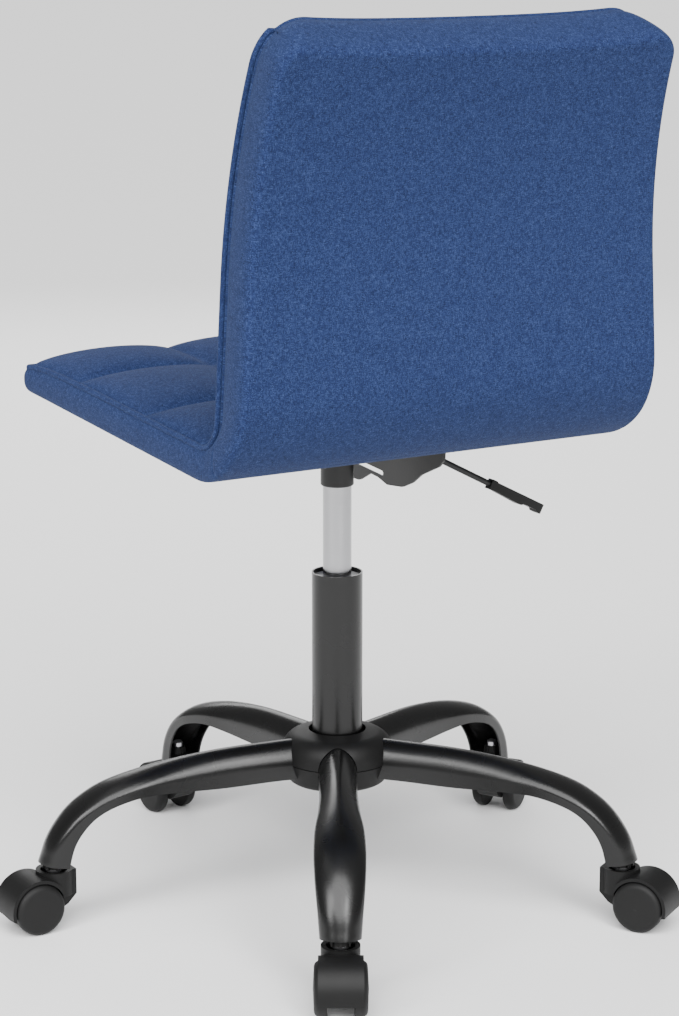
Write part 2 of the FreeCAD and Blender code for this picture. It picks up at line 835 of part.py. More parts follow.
def shell_curve(inside_seat, inside_back, corner_r, front_y, lean):
    """Edges of one layer from the seat's front to the top of the back."""
    wall_y = back_y - inside_back
    start = Vec(0, front_y, under_at(front_y, inside_seat))
    corner = Vec(0, wall_y, under_at(wall_y, inside_seat))
    along = Vec(0, math.cos(tilt), -math.sin(tilt))
    half = (math.pi / 2 - tilt) / 2
    reach = corner_r / math.tan(half)
    into = corner - along * reach
    out = corner + UP * reach
    inward = UP - along
    inward.normalize()
    mid = corner + inward * (corner_r / math.sin(half) - corner_r)
    lean_z = under_z + lean_from
    radius = lean_r + inside_back
    centre = Vec(0, back_y + lean_r, lean_z)

    def leaning(angle):
        turn = math.radians(angle)
        return centre + Vec(0, -radius * math.cos(turn), radius * math.sin(turn))

    edges = [
        Part.makeLine(start, into),
        Part.Arc(into, mid, out).toShape(),
        Part.makeLine(out, leaning(0)),
        Part.Arc(leaning(0), leaning(lean / 2), leaning(lean)).toShape(),
    ]
    return edges, start, leaning(lean)


def layer(outer, inner, front_y, lean, half_width):
    """Solid between two layers, as wide as the seat."""
    out_edges, out_start, out_end = shell_curve(*outer, front_y, lean)
    in_edges, in_start, in_end = shell_curve(*inner, front_y, lean)
    top = Part.makeLine(out_end, in_end)
    front = Part.makeLine(in_start, out_start)
    face = Part.Face(Part.Wire(out_edges + [top] + in_edges[::-1] + [front]))
    face.translate(Vec(-half_width, 0, 0))
    return face.extrude(Vec(2 * half_width, 0, 0))


def shell_outline(inset, front_r, top_r, lean):
    """Everything inside the shell's edge: its plan at the front and its taper behind."""
    seat_w = seat_half_w - inset
    top_w = top_half_w - inset
    turn = math.radians(lean)
    low = under_z - long_cut / 4
    taper_z = under_z + taper_from
    top = under_z + lean_from + (lean_r + ply_t) * math.sin(turn) - inset * math.cos(turn)
    crown = top + (back_foam + back_pad_t) * math.sin(turn)
    widen = (seat_w - top_w) / (top - taper_z)
    crown_w = top_w - widen * (crown - top)
    front = -seat_front + inset
    plan = outline([
        (-seat_w, front, front_r),
        (seat_w, front, front_r),
        (seat_w, long_cut, 0),
        (-seat_w, long_cut, 0),
    ], plan_view)
    plan.translate(Vec(0, 0, low))
    plan = plan.extrude(Vec(0, 0, crown - low + long_cut))
    rear = outline([
        (-seat_w, low, 0),
        (seat_w, low, 0),
        (seat_w, taper_z, 0),
        (crown_w, crown, top_r),
        (-crown_w, crown, top_r),
        (-seat_w, taper_z, 0),
    ], side_view)
    rear.translate(Vec(0, -long_cut, 0))
    return plan.common(rear.extrude(Vec(0, 3 * long_cut, 0)))


ply_under = (dust_t, back_pad_t, corner_ply_r)
ply_over = (dust_t + ply_t, back_pad_t + ply_t, corner_ply_r - ply_t)
skin_under = (dust_t, 0, corner_out_r)
skin_over = (dust_t + ply_t + seat_pad, back_pad_t + ply_t + back_foam, crease_r)


def plywood_blank():
    edge_lean = lean_deg - math.degrees(side_pad / lean_r)
    solid = layer(ply_under, ply_over, -seat_front + side_pad, edge_lean, seat_half_w)
    return solid.common(shell_outline(side_pad, ply_corner_r, ply_corner_r, lean_deg))


def plywood_shell(blank):
    deep = ply_t + dust_t
    holes = post(tnut_barrel_d / 2, 0, deep).fuse(post(tnut_d / 2, deep - tnut_flange, deep))
    shell = blank
    for hole in at_bolts(holes):
        shell = shell.cut(hole)
    return shell


def upholstery(blank):
    """Seat cushion, back cushion and rear padding, wrapped round the plywood."""
    whole = layer(skin_under, skin_over, -seat_front, lean_deg, seat_half_w)
    whole = whole.common(shell_outline(0, seat_corner_r, top_corner_r, lean_deg))
    whole = whole.cut(blank)
    crease_y = back_y - skin_over[1]
    crease = Vec(0, crease_y, under_at(crease_y, skin_over[0]))
    big = long_cut * 2
    behind = Part.makeBox(big, big, big, Vec(-big / 2, 0, -big / 2))
    behind.rotate(ORIGIN, ALONG_X, 45)
    behind.translate(crease)
    seat = whole.cut(behind)
    back = whole.common(behind)
    front_zone = layer(ply_over, skin_over, -seat_front, lean_deg, seat_half_w + side_pad)
    return seat, back.common(front_zone), back.cut(front_zone)


def dust_cover():
    """Thin black cloth stapled under the plywood."""
    inset = side_pad + dust_inset
    half = seat_half_w - inset
    rear = back_y - corner_out_r - dust_inset
    sheet = outline([
        (-half, -seat_front + inset, dust_corner_r),
        (half, -seat_front + inset, dust_corner_r),
        (half, rear, dust_corner_r),
        (-half, rear, dust_corner_r),
    ], plan_view)
    sheet.translate(Vec(0, 0, under_z))
    cover = tipped(sheet.extrude(Vec(0, 0, dust_t)))
    for hole in at_bolts(post(bolt_d / 2 + bolt_hole_gap, 0, dust_t)):
        cover = cover.cut(hole)
    return cover


def seat_bolts():
    head = pipe(bolt_head_d / 2, bolt_d / 4, -plate_t - bolt_head_h, -plate_t)
    dome = post(bolt_head_d / 2, -plate_t - bolt_head_h / 2, -plate_t)
    shank = post(bolt_d / 2, -plate_t - bolt_head_h / 2, dust_t + ply_t - tnut_clear / 2)
    return at_bolts(head.fuse(dome).fuse(shank).removeSplitter())


def t_nuts():
    high = dust_t + ply_t
    barrel = pipe(tnut_barrel_d / 2, bolt_d / 2, dust_t + tnut_clear, high)
    flange = pipe(tnut_d / 2, bolt_d / 2, high - tnut_flange, high)
    return at_bolts(barrel.fuse(flange).removeSplitter())


# ---------------------------------------------------------------- build
os.makedirs("parts", exist_ok=True)
hollow = arm_body(-arm_wall, 2 * arm_wall + 1)
sleeve = arm_body(part_gap, 0)
arm = pressed_arm(hollow)
socket = stem_socket(hollow)
hood = caster_hood()
stem = caster_stem()
axle = caster_axle()
arm_cuts = []
sockets = []

for number, (arm_angle, turn) in enumerate(caster_places(), 1):
    label = str(number)
    save("arm_" + label, arm.rotated(ORIGIN, UP, arm_angle))
    arm_cuts.append(sleeve.rotated(ORIGIN, UP, arm_angle))
    sockets.append(put_caster(socket, arm_angle, arm_angle))
    save("caster_hood_" + label, put_caster(hood, arm_angle, turn))
    save("caster_stem_" + label, put_caster(stem, arm_angle, turn))
    save("caster_axle_" + label, put_caster(axle, arm_angle, turn))
    save("wheel_left_" + label, put_caster(caster_wheel(1), arm_angle, turn))
    save("wheel_right_" + label, put_caster(caster_wheel(-1), arm_angle, turn))

save("stem_sockets", sockets)
save("hub_core", hub_core())
save("hub_cover_lower", hub_cover_lower(arm_cuts))
save("hub_cover_upper", hub_cover_upper(arm_cuts))

save("column_tube", column_tube())
save("guide_bush", guide_bush())
save("bearing_washer_lower", pipe(washer_d / 2, rod_r + run_gap, floor_z, ball_z))
save("bearing_balls", bearing_balls())
save("bearing_cage", bearing_cage())
save("bearing_washer_upper", pipe(washer_d / 2, rod_r, upper_washer_z, shoulder_z))
save("rubber_buffer", pipe(buffer_d / 2, rod_r, buffer_z, buffer_z + buffer_h))
save("rod_clip", rod_clip())
save("piston_rod", piston_rod())
save("piston_head", pipe(bore_r - run_gap, rod_r, piston_z, piston_z + piston_h))
save("gas_cylinder", gas_cylinder())
save("rod_guide", pipe(bore_r, rod_r + run_gap, cylinder_z, cylinder_z + guide_h))
save("valve_body", pipe(valve_r, pin_d / 2 + run_gap, valve_z, valve_z + valve_h))
save("release_pin", release_pin())

save("swivel_plate", swivel_plate())
save("swivel_bracket", swivel_bracket())
save("swivel_socket", swivel_socket())
save("lever_rod", lever_rod())
save("lever_handle", lever_handle())
save("seat_bolts", seat_bolts())
save("t_nuts", t_nuts())

blank = plywood_blank()
seat_cushion, back_cushion, back_padding = upholstery(blank)
save("plywood_shell", plywood_shell(blank))
save("seat_cushion", seat_cushion)
save("back_cushion", back_cushion)
save("back_padding", back_padding)
save("dust_cover", dust_cover())
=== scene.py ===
# %% [markdown]
# # A swivel office chair
# The steel and plastic of this chair come ready from its CAD model. What is left to make
# is what a CAD model can't hold: the sewn cover with its tufted pillows, its welt and its
# seams, and the finish of every surface. The chair stands on the floor at the origin, +Z
# is up and the sitter faces -Y. All lengths are in metres.

# %% Load the frame
import json
import bpy
import numpy as np
from math import atan, cos, pi, radians, sin
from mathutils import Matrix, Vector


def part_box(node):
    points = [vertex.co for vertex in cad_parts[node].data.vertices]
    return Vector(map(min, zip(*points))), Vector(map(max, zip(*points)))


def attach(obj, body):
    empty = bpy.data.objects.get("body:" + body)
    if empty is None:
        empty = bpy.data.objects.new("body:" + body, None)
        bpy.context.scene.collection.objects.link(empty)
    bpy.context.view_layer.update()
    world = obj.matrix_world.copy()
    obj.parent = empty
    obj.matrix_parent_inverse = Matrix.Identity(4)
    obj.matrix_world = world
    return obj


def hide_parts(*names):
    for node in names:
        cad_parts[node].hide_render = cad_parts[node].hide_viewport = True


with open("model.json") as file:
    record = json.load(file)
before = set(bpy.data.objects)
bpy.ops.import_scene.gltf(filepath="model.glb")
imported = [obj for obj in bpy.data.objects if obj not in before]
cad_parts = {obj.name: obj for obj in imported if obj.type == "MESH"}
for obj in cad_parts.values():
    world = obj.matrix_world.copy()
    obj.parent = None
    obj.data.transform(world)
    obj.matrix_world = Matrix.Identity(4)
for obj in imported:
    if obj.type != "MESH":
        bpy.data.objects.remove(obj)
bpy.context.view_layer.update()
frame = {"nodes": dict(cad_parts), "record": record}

# %% [markdown]
# ## Camera
# The chair is seen from behind and from the sitter's left, with the camera a little above the
# seat and far away, so that the sides hardly converge. The camera is placed by its
# distance from the column, its direction round the column, and its height.

# %% Camera
CAMERA_DISTANCE = 2.6357
CAMERA_HEIGHT = 0.9974
CAMERA_ROUND = radians(31)
CAMERA_DOWN = 0.225
LENS = 98.2346
LENS_SHIFT = 0.0022638
SENSOR = 36

camera_data = bpy.data.cameras.new("camera")
camera_data.sensor_width = SENSOR
camera_data.lens = LENS
camera_data.shift_x = LENS_SHIFT
camera = bpy.data.objects.new("camera", camera_data)
camera.location = (CAMERA_DISTANCE * sin(CAMERA_ROUND), CAMERA_DISTANCE * cos(CAMERA_ROUND),
                   CAMERA_HEIGHT)
camera.rotation_euler = (pi / 2 - CAMERA_DOWN, 0, pi - CAMERA_ROUND)
bpy.context.scene.collection.objects.link(camera)
bpy.context.scene.camera = camera
print("lens", round(camera_data.lens, 1), "mm")

# %% [markdown]
# ## Floor and light
# A wide pale floor fills the view. Most of the light comes from a broad, even sky behind
# the camera. Two tall softboxes, left and right of the view, draw bright streaks on the
# enamel and the chrome, a third lights the front of the chair, and a fourth hangs above.
# The room itself gives a weak even light, which keeps black enamel black.

# %% Floor and lights
def flat_material(name, colour, roughness):
    material = bpy.data.materials.new(name)
    material.use_nodes = True
    surface = material.node_tree.nodes["Principled BSDF"]
    surface.inputs["Base Color"].default_value = (*colour, 1)
    surface.inputs["Roughness"].default_value = roughness
    return material


def floor(size):
    mesh = bpy.data.meshes.new("floor")
    corners = [(-size, -size, 0), (size, -size, 0), (size, size, 0), (-size, size, 0)]
    mesh.from_pydata(corners, [], [(0, 1, 2, 3)])
    made = bpy.data.objects.new("floor", mesh)
    made.data.materials.append(flat_material("floor_paint", (0.86, 0.86, 0.86), 0.9))
    bpy.context.scene.collection.objects.link(made)
    return made


def softbox(name, place, aim, width, height, watts):
    """Rectangular light at place, facing the point aim."""
    data = bpy.data.lights.new(name, "AREA")
    data.shape = "RECTANGLE"
    data.size = width
    data.size_y = height
    data.energy = watts
    made = bpy.data.objects.new(name, data)
    made.location = place
    direction = np.array(aim, float) - np.array(place, float)
    flat = np.hypot(direction[0], direction[1])
    made.rotation_euler = (pi / 2 + np.arctan2(direction[2], flat), 0,
                           np.arctan2(-direction[0], direction[1]))
    bpy.context.scene.collection.objects.link(made)
    return made


def sky(name, height, round_column, width, strength):
    """Even light from far away: its height and width are angles in degrees."""
    data = bpy.data.lights.new(name, "SUN")
    data.energy = strength
    data.angle = radians(width)
    made = bpy.data.objects.new(name, data)
    made.rotation_euler = (radians(90 - height), 0, pi - round_column)
    bpy.context.scene.collection.objects.link(made)
    return made


FLOOR_SIZE = 40
ROOM_LIGHT = 0.3
CHAIR_MIDDLE = (0, 0, 0.45)

floor(FLOOR_SIZE)
world = bpy.data.worlds.new("room")
world.use_nodes = True
world.node_tree.nodes["Background"].inputs["Color"].default_value = (1, 1, 1, 1)
world.node_tree.nodes["Background"].inputs["Strength"].default_value = ROOM_LIGHT
bpy.context.scene.world = world
softbox("left_light", (3.0, 0.9, 1.9), CHAIR_MIDDLE, 0.9, 2.0, 70)
softbox("right_light", (0.1, 3.2, 1.9), CHAIR_MIDDLE, 0.9, 2.0, 70)
softbox("front_light", (-1.4, -3.2, 1.9), CHAIR_MIDDLE, 1.8, 1.8, 35)
softbox("top_light", (0.3, -0.6, 3.2), CHAIR_MIDDLE, 2.6, 2.0, 12)
sky("sky_light", 50, CAMERA_ROUND, 60, 5.6)

# %% [markdown]
# ## Shader maths
# A finish is a small net of nodes. Written as sums it is far easier to read, so a socket
# is wrapped in a class whose operators add the Math nodes, and every other node comes
# from one method of the finish.

# %% A socket that can be added and multiplied
class Wire:
    """One output of a node; sums, products and comparisons of it add Math nodes."""

    def __init__(self, finish, socket):
        self.finish = finish
        self.socket = socket

    def math(self, operation, *values):
        return self.finish.node("ShaderNodeMath", {"operation": operation}, dict(enumerate(values)))

    def __add__(self, other):
        return self.math("ADD", self, other)

    def __sub__(self, other):
        return self.math("SUBTRACT", self, other)

    def __rsub__(self, other):
        return self.math("SUBTRACT", other, self)

    def __mul__(self, other):
        return self.math("MULTIPLY", self, other)

    def __truediv__(self, other):
        return self.math("DIVIDE", self, other)

    def __mod__(self, other):
        return self.math("FLOORED_MODULO", self, other)

    def __pow__(self, other):
        return self.math("POWER", self, other)

    __radd__ = __add__
    __rmul__ = __mul__


class Finish:
    """A material whose nodes are made by node() and whose surface is set by keyword."""

    def __init__(self, name):
        self.material = bpy.data.materials.new(name)
        self.material.use_nodes = True
        self.tree = self.material.node_tree
        self.surface = self.tree.nodes["Principled BSDF"]

    def node(self, kind, settings=None, values=None, output=0):
        """Adds a node: its settings first, then its sockets' values or links."""
        made = self.tree.nodes.new(kind)
        for key, value in (settings or {}).items():
            if key == "stops":
                for i, (place, colour) in enumerate(value):
                    stops = made.color_ramp.elements
                    stop = stops[i] if i < len(stops) else stops.new(place)
                    stop.position = place
                    stop.color = colour
            else:
                setattr(made, key, value)
        for key, value in (values or {}).items():
            self.feed(made.inputs[key], value)
        return Wire(self, made.outputs[output])

    def feed(self, socket, value):
        if isinstance(value, Wire):
            self.tree.links.new(value.socket, socket)
        else:
            socket.default_value = value

    def set(self, **values):
        """Sets sockets of the surface; an underscore stands for a space in their names."""
        for key, value in values.items():
            self.feed(self.surface.inputs[key.replace("_", " ")], value)
        return self

    def noise(self, where, scale, detail=2.0, rough=0.5):
        values = {"Vector": where, "Scale": scale, "Detail": detail, "Roughness": rough}
        return self.node("ShaderNodeTexNoise", {}, values, "Fac")

    def mix(self, amount, first, second):
        """Blend of two colours."""
        return self.node("ShaderNodeMix", {"data_type": "RGBA"}, {0: amount, 6: first, 7: second}, 2)

    def stretch(self, where, x, y, z):
        return self.node("ShaderNodeMapping", {}, {"Vector": where, "Scale": (x, y, z)})

    def bump(self, height, depth, strength=1.0):
        values = {"Height": height, "Distance": depth, "Strength": strength}
        return self.node("ShaderNodeBump", {}, values)

    def place(self, output):
        return self.node("ShaderNodeTexCoord", {}, {}, output)


def grey(level):
    return (level, level, level, 1)


# %% [markdown]
# ## The blue cloth
# The cover is a plain weave with a linen look. Each thread has its own tone, which drifts
# along its length, so the cloth is a mix of lighter and darker flecks. The pattern runs
# on the cover's UV map, whose unit is the metre, so threads keep their size and follow
# the surface. Where a warp thread crosses a weft thread, one is on top: a checkerboard.

# %% Cloth
THREAD = 0.00085


def cloth(name, dark, middle, light):
    """Threads are counted along u and v; the tone of each is a noise stretched along it."""
    finish = Finish(name)
    uv = finish.place("UV")
    axes = finish.node("ShaderNodeSeparateXYZ", {}, {0: uv})
    u = axes * (1 / THREAD)
    v = Wire(finish, axes.socket.node.outputs[1]) * (1 / THREAD)
    column = u.math("FLOOR", u)
    row = v.math("FLOOR", v)
    warp_place = finish.node("ShaderNodeCombineXYZ", {}, {0: column * 7.31, 1: v * 0.22, 2: 0.0})
    weft_place = finish.node("ShaderNodeCombineXYZ", {}, {0: u * 0.22, 1: row * 7.31, 2: 40.0})
    warp = finish.noise(warp_place, 1.0, 3.0, 0.65)
    weft = finish.noise(weft_place, 1.0, 3.0, 0.65)
    over = (column + row) % 2.0
    tone = warp * over + weft * (1 - over)
    cloudy = finish.noise(uv, 45.0, 2.0)
    tone = tone + (cloudy - 0.5) * 0.05
    stops = [(0.3, dark), (0.5, middle), (0.7, light)]
    colour = finish.node("ShaderNodeValToRGB", {"stops": stops}, {0: tone}, "Color")
    across = ((u % 1.0) - 0.5).math("ABSOLUTE", (u % 1.0) - 0.5)
    along = ((v % 1.0) - 0.5).math("ABSOLUTE", (v % 1.0) - 0.5)
    round_top = (0.5 - across) * over + (0.5 - along) * (1 - over)
    finish.set(Base_Color=colour, Roughness=0.92, Specular_IOR_Level=0.18, Sheen_Weight=0.05)
    finish.set(Sheen_Roughness=0.5, Sheen_Tint=(0.35, 0.5, 0.85, 1))
    finish.set(Normal=finish.bump(round_top, 0.0003, 0.55))
    return finish.material


linen = cloth("blue_linen", (0.003, 0.006, 0.024, 1), (0.0095, 0.019, 0.07, 1), (0.036, 0.061, 0.155, 1))
print("cloth nodes", len(linen.node_tree.nodes))

# %% [markdown]
# ## Black finishes and metals
# The arms and the column are stove enamelled: satin, with the faint waviness of a sprayed
# coat. The covers, hoods, wheels and handle are moulded in black plastic with a fine
# spark-eroded grain. The gas cylinder is ground chrome, so it has fine marks round it.

# %% Enamel and plastic
def sprayed(name, level, roughness, orange_peel):
    """Even coat over metal: roughness drifts a little and the film is slightly wavy."""
    finish = Finish(name)
    where = finish.place("Object")
    drift = finish.noise(where, 14.0, 3.0)
    peel = finish.noise(where, 420.0, 2.0)
    finish.set(Base_Color=finish.mix(drift, grey(level * 0.85), grey(level * 1.2)))
    finish.set(Roughness=drift * 0.1 + (roughness - 0.05), Specular_IOR_Level=0.4)
    finish.set(Normal=finish.bump(peel, orange_peel, 0.35))
    return finish.material


def moulded(name, level, roughness, grain):
    """Plastic with a fine grain from its mould and faint scuffs that are less matt."""
    finish = Finish(name)
    where = finish.place("Object")
    pits = finish.noise(where, 1500.0, 2.0, 0.6)
    scuff = finish.noise(where, 35.0, 4.0, 0.6)
    finish.set(Base_Color=finish.mix(scuff, grey(level * 0.8), grey(level * 1.25)))
    finish.set(Roughness=scuff * 0.16 + (roughness - 0.08), Specular_IOR_Level=0.2)
    finish.set(Normal=finish.bump(pits, grain, 0.5))
    return finish.material


enamel = sprayed("arm_enamel", 0.003, 0.27, 0.0001)
plate_paint = sprayed("plate_paint", 0.004, 0.45, 0.00015)
cover_plastic = moulded("cover_plastic", 0.005, 0.5, 0.00008)
wheel_plastic = moulded("wheel_plastic", 0.007, 0.55, 0.00008)
handle_plastic = moulded("handle_plastic", 0.008, 0.5, 0.0001)
bush_plastic = moulded("bush_plastic", 0.5, 0.45, 0.00003)
rubber = moulded("buffer_rubber", 0.015, 0.8, 0.00008)


# %% Metals, wood and dust cloth
def metal(name, colour, roughness, rings):
    """Metal with fine marks round its axis: a noise that changes with height only."""
    finish = Finish(name)
    where = finish.place("Object")
    marks = finish.noise(finish.stretch(where, 3.0, 3.0, rings), 1.0, 4.0, 0.7)
    smear = finish.noise(where, 25.0, 3.0)
    finish.set(Base_Color=finish.mix(smear, colour, tuple(min(1.0, c * 1.12) for c in colour)))
    finish.set(Metallic=1.0, Roughness=marks * 0.14 + smear * 0.06 + (roughness - 0.1))
    finish.set(Normal=finish.bump(marks, 0.00012, 0.8))
    return finish.material


def plywood(name):
    """Bare beech veneer: long streaks along the grain, in alternating plies at the edges."""
    finish = Finish(name)
    where = finish.place("Object")
    streaks = finish.noise(finish.stretch(where, 12.0, 160.0, 160.0), 1.0, 5.0, 0.6)
    stops = [(0.3, (0.42, 0.26, 0.13, 1)), (0.7, (0.66, 0.47, 0.28, 1))]
    finish.set(Base_Color=finish.node("ShaderNodeValToRGB", {"stops": stops}, {0: streaks}, "Color"))
    finish.set(Roughness=streaks * 0.2 + 0.5, Normal=finish.bump(streaks, 0.0002, 0.4))
    return finish.material


def felt(name):
    """Thin black non-woven cloth, pressed with a grid of small dots."""
    finish = Finish(name)
    where = finish.place("Object")
    fibres = finish.noise(where, 700.0, 4.0, 0.7)
    dots = finish.node("ShaderNodeTexVoronoi", {}, {"Vector": where, "Scale": 420.0}, "Distance")
    finish.set(Base_Color=finish.mix(fibres, grey(0.006), grey(0.022)), Roughness=0.95)
    finish.set(Normal=finish.bump(fibres + dots, 0.0002, 0.5))
    return finish.material


chrome = metal("cylinder_chrome", (0.36, 0.36, 0.37, 1), 0.24, 1800.0)
steel = metal("bright_steel", (0.6, 0.6, 0.62, 1), 0.3, 300.0)
alloy = metal("alloy", (0.68, 0.68, 0.7, 1), 0.35, 300.0)
beech = plywood("birch_plywood")
dust_cloth = felt("dust_cloth")

# %% [markdown]
# Each CAD piece says in the record which finish it has, so one loop dresses them all.

# %% Dress the CAD pieces
FINISHES = {
    "blue_linen": linen, "arm_enamel": enamel, "cover_plastic": cover_plastic,
    "wheel_plastic": wheel_plastic, "handle_plastic": handle_plastic, "bush_plastic": bush_plastic,
    "bright_steel": steel, "cylinder_chrome": chrome, "alloy": alloy, "buffer_rubber": rubber,
    "plate_paint": plate_paint, "birch_plywood": beech, "dust_cloth": dust_cloth,
}
for part in frame["record"]["subparts"]:
    node = frame["nodes"][part["node"]]
    node.data.materials.clear()
    node.data.materials.append(FINISHES[part["material_slot"]])

# %% [markdown]
# ## The shell's side view
# Seen from the side the seat and back are one sheet, bent to an L. Two lines describe it:
# the outer line runs under the seat and up the rear of the back, and the inner line is
# where the welt runs. A line is given by how its direction turns along its length, as a
# walker would say it: straight on, then round to the left. Adding up the small steps of
# the walk gives its points.

# %% Lines that are walked
TILT = radians(4)
LEAN = radians(24.5)


class Walk:
    """A line from start: legs are (length, turn), and the direction turns evenly on each."""

    def __init__(self, start, heading, legs, steps=4000):
        lengths = np.array([length for length, turn in legs])
        turns = np.array([turn for length, turn in legs])
        self.knots = np.concatenate([[0], np.cumsum(lengths)])
        headings = heading + np.concatenate([[0], np.cumsum(turns)])
        self.s = np.linspace(0, self.knots[-1], steps)
        middle = (self.s[1:] + self.s[:-1]) / 2
        way = np.interp(middle, self.knots, headings)
        step = np.diff(self.s)
        self.y = start[0] + np.concatenate([[0], np.cumsum(step * np.cos(way))])
        self.z = start[1] + np.concatenate([[0], np.cumsum(step * np.sin(way))])
        self.way = np.interp(self.s, self.knots, headings)
        self.length = self.knots[-1]

    def at(self, s):
        """Depth and height at distance s; beyond the ends the line runs straight on."""
        inside = np.clip(s, 0, self.length)
        way = self.heading(s)
        extra = s - inside
        y = np.interp(inside, self.s, self.y) + extra * np.cos(way)
        z = np.interp(inside, self.s, self.z) + extra * np.sin(way)
        return y, z

    def heading(self, s):
        return np.interp(s, self.s, self.way)


# %% Outer and inner line
seat_low, seat_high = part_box("seat_cushion")
HALF_WIDTH = seat_high.x
FRONT = -0.252
UNDER = 0.4786
REAR = 0.213
LEAN_FROM = 0.650
LEAN_RADIUS = 0.500
BEND_OUTER = 0.090
BEND_INNER = 0.030
SEAT_THICK = 0.031
BACK_THICK = 0.050
TOP_HALF_WIDTH = 0.2025
TAPER_FROM = 0.500
TAPER_TO = 0.880
TAPER_LIMIT = 1.05


def shell_line(thick_seat, thick_back, bend):
    """Line at thick_seat above the underside and thick_back before the rear face."""
    start = (FRONT + thick_seat * sin(TILT), UNDER - FRONT * sin(TILT) / cos(TILT) + thick_seat * cos(TILT))
    wall = REAR - thick_back
    reach = bend * np.tan((pi / 2 + TILT) / 2)
    seat_run = (wall - start[0]) / cos(TILT) - reach
    corner_z = start[1] - (wall - start[0]) * np.tan(TILT)
    upright = LEAN_FROM - corner_z - reach
    radius = LEAN_RADIUS + thick_back
    legs = [(seat_run, 0), (bend * (pi / 2 + TILT), pi / 2 + TILT), (upright, 0), (radius * LEAN, -LEAN)]
    return Walk(start, -TILT, legs)


outer_line = shell_line(0.0, 0.0, BEND_OUTER)
inner_line = shell_line(SEAT_THICK, BACK_THICK, BEND_INNER)
TOTAL = inner_line.length
print("outer line", round(outer_line.length, 3), "inner line", round(TOTAL, 3))

# %% [markdown]
# The two lines are paired off, so that a distance v along the inner line names a place on
# both. At the bend most of the outer arc belongs to the rear panel and most of the inner
# arc to the boxing, because the seam between them runs straight down.

# %% Pairing the lines
SEAM_INNER_SHARE = 0.8
SEAM_OUTER_SHARE = 0.32


def with_seam(knots, share):
    seam = knots[1] + share * (knots[2] - knots[1])
    return np.insert(knots, 2, seam)


inner_knots = with_seam(inner_line.knots, SEAM_INNER_SHARE)
outer_knots = with_seam(outer_line.knots, SEAM_OUTER_SHARE)
SEAM_V = inner_knots[2]


DROOP = 0.013
DROOP_REACH = 0.040


def side_view(v, level):
    """Depth and height at v: level 0 is the outer line, 1 is the inner line."""
    out_y, out_z = outer_line.at(np.interp(v, inner_knots, outer_knots) + np.minimum(v, 0)
                                 + np.maximum(v - TOTAL, 0))
    in_y, in_z = inner_line.at(v)
    in_z = in_z - DROOP * np.exp(-np.maximum(v, 0) / DROOP_REACH)
    return out_y + level * (in_y - out_y), out_z + level * (in_z - out_z)


def half_width(z):
    """The back narrows in a straight line from just above the seat to its top."""
    share = np.clip((z - TAPER_FROM) / (TAPER_TO - TAPER_FROM), 0, TAPER_LIMIT)
    return HALF_WIDTH + (TOP_HALF_WIDTH - HALF_WIDTH) * share


# %% [markdown]
# The outline of the panel has round corners. A square grid is bent into them: inside each
# corner the square rings of the grid become quarter circles, so no point is crowded. The
# back is a little wider at its rear face than at the welt, and its top dips between the
# corners.

# %% Round corners
FRONT_CORNER = 0.026
TOP_CORNER = 0.044
REAR_CORNER = 0.030
FLARE = 0.006
PINCH = 0.0055
EAR = 0.0055
REAR_EAR = 0.002
DIP = 0.0026


def on_back(v):
    """0 on the seat and 1 on the back, with a smooth change round the bend."""
    share = np.clip((v - inner_knots[1]) / (inner_knots[3] - inner_knots[1]), 0, 1)
    return share * share * (3 - 2 * share)


def rounded(a, v, radius, edge_v, way):
    """Moves grid points (a across, v along) in the corner squares onto quarter rings."""
    dx = np.abs(a) - (HALF_WIDTH - radius)
    dy = radius - (v - edge_v) * way
    inside = (dx > 0) & (dy > 0)
    ring = np.where(inside, np.maximum(dx, dy), 1.0)
    new_dx = dx * np.sqrt(np.clip(1 - dy ** 2 / (2 * ring ** 2), 0, 1))
    new_dy = dy * np.sqrt(np.clip(1 - dx ** 2 / (2 * ring ** 2), 0, 1))
    new_a = np.where(inside, np.sign(a) * (HALF_WIDTH - radius + new_dx), a)
    new_v = np.where(inside, edge_v + (radius - new_dy) * way, v)
    return new_a, new_v


def to_space(a, v, level, lift=0.0):
    """Points of the shell: across a, along v, at a level between the lines, lifted off it."""
    a, v = rounded(a, v, FRONT_CORNER, 0.0, 1)
    a, v = rounded(a, v, REAR_CORNER + (TOP_CORNER - REAR_CORNER) * level, TOTAL, -1)
    across = np.clip(np.abs(a) / HALF_WIDTH, 0, 1)
    near_top = np.clip(v / TOTAL * 4 - 3, 0, 1)
    ear = EAR + REAR_EAR * (1 - level)
    y, z = side_view(v + near_top * (ear * across ** 4 - DIP * (1 - across ** 2)), level)
    way = inner_line.heading(v)
    y = y - lift * np.sin(way)
    z = z + lift * np.cos(way)
    width = half_width(z) + on_back(v) * (FLARE * (1 - level) - PINCH * level)
    return np.stack([a / HALF_WIDTH * width, y, z], axis=-1)


# %% [markdown]
# A sheet is a grid of points. Its UV map is measured on the sheet itself, in metres: u is
# the way along each row from its middle, v the way along each column from its middle.

# %% Sheets
def ways(points, axis):
    """Length walked along axis from the grid's middle line."""
    step = np.linalg.norm(np.diff(points, axis=axis), axis=-1)
    pad = [(1, 0) if i == axis else (0, 0) for i in range(2)]
    run = np.cumsum(np.pad(step, pad), axis=axis)
    middle = np.take(run, [run.shape[axis] // 2], axis=axis)
    return run - middle


def grid_quads(rows, columns):
    index = np.arange(rows * columns).reshape(rows, columns)
    quads = [index[:-1, :-1], index[:-1, 1:], index[1:, 1:], index[1:, :-1]]
    return np.stack(quads, axis=-1).reshape(-1, 4)


